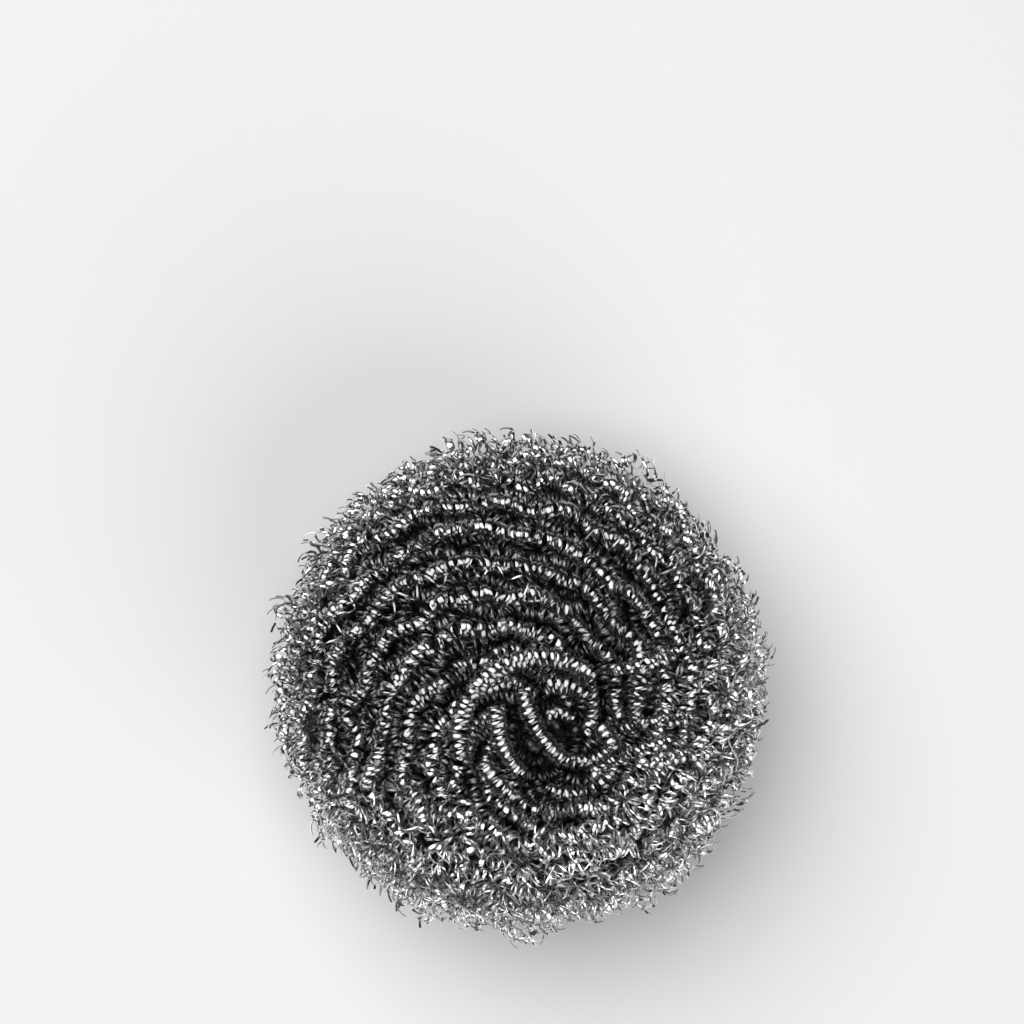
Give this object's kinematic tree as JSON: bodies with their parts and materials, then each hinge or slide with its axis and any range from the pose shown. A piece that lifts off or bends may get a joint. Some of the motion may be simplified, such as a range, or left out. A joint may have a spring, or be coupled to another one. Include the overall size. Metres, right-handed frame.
{
  "type": "pot scrubber",
  "caption": "Round flattened ball of curled stainless-steel strands wound in a swirl, for scouring pots and pans by hand.",
  "frame": {"origin": "centre of the bounding box, on the flat that the ball rests on", "axes": "+Z up through the rosette's side, X to the right and Y up in the picture's plane"},
  "size_m": [0.0901, 0.0905, 0.0487],
  "materials": {
    "steel_strand": "bright drawn ribbon with fine lengthwise scratches"
  },
  "bodies": {
    "root": {"inner_winding": "steel_strand", "front_strand_1": "steel_strand", "front_strand_2": "steel_strand", "front_strand_3": "steel_strand", "front_strand_4": "steel_strand", "front_strand_5": "steel_strand", "front_strand_6": "steel_strand", "front_strand_7": "steel_strand", "front_strand_8": "steel_strand", "back_strand_1": "steel_strand", "back_strand_2": "steel_strand", "back_strand_3": "steel_strand", "back_strand_4": "steel_strand", "back_strand_5": "steel_strand", "back_strand_6": "steel_strand", "back_strand_7": "steel_strand", "back_strand_8": "steel_strand", "rosette_spring_1": "steel_strand", "rosette_spring_2": "steel_strand", "rosette_spring_3": "steel_strand", "rosette_spring_4": "steel_strand", "rosette_spring_5": "steel_strand", "rosette_spring_6": "steel_strand"}
  },
  "joints": []
}
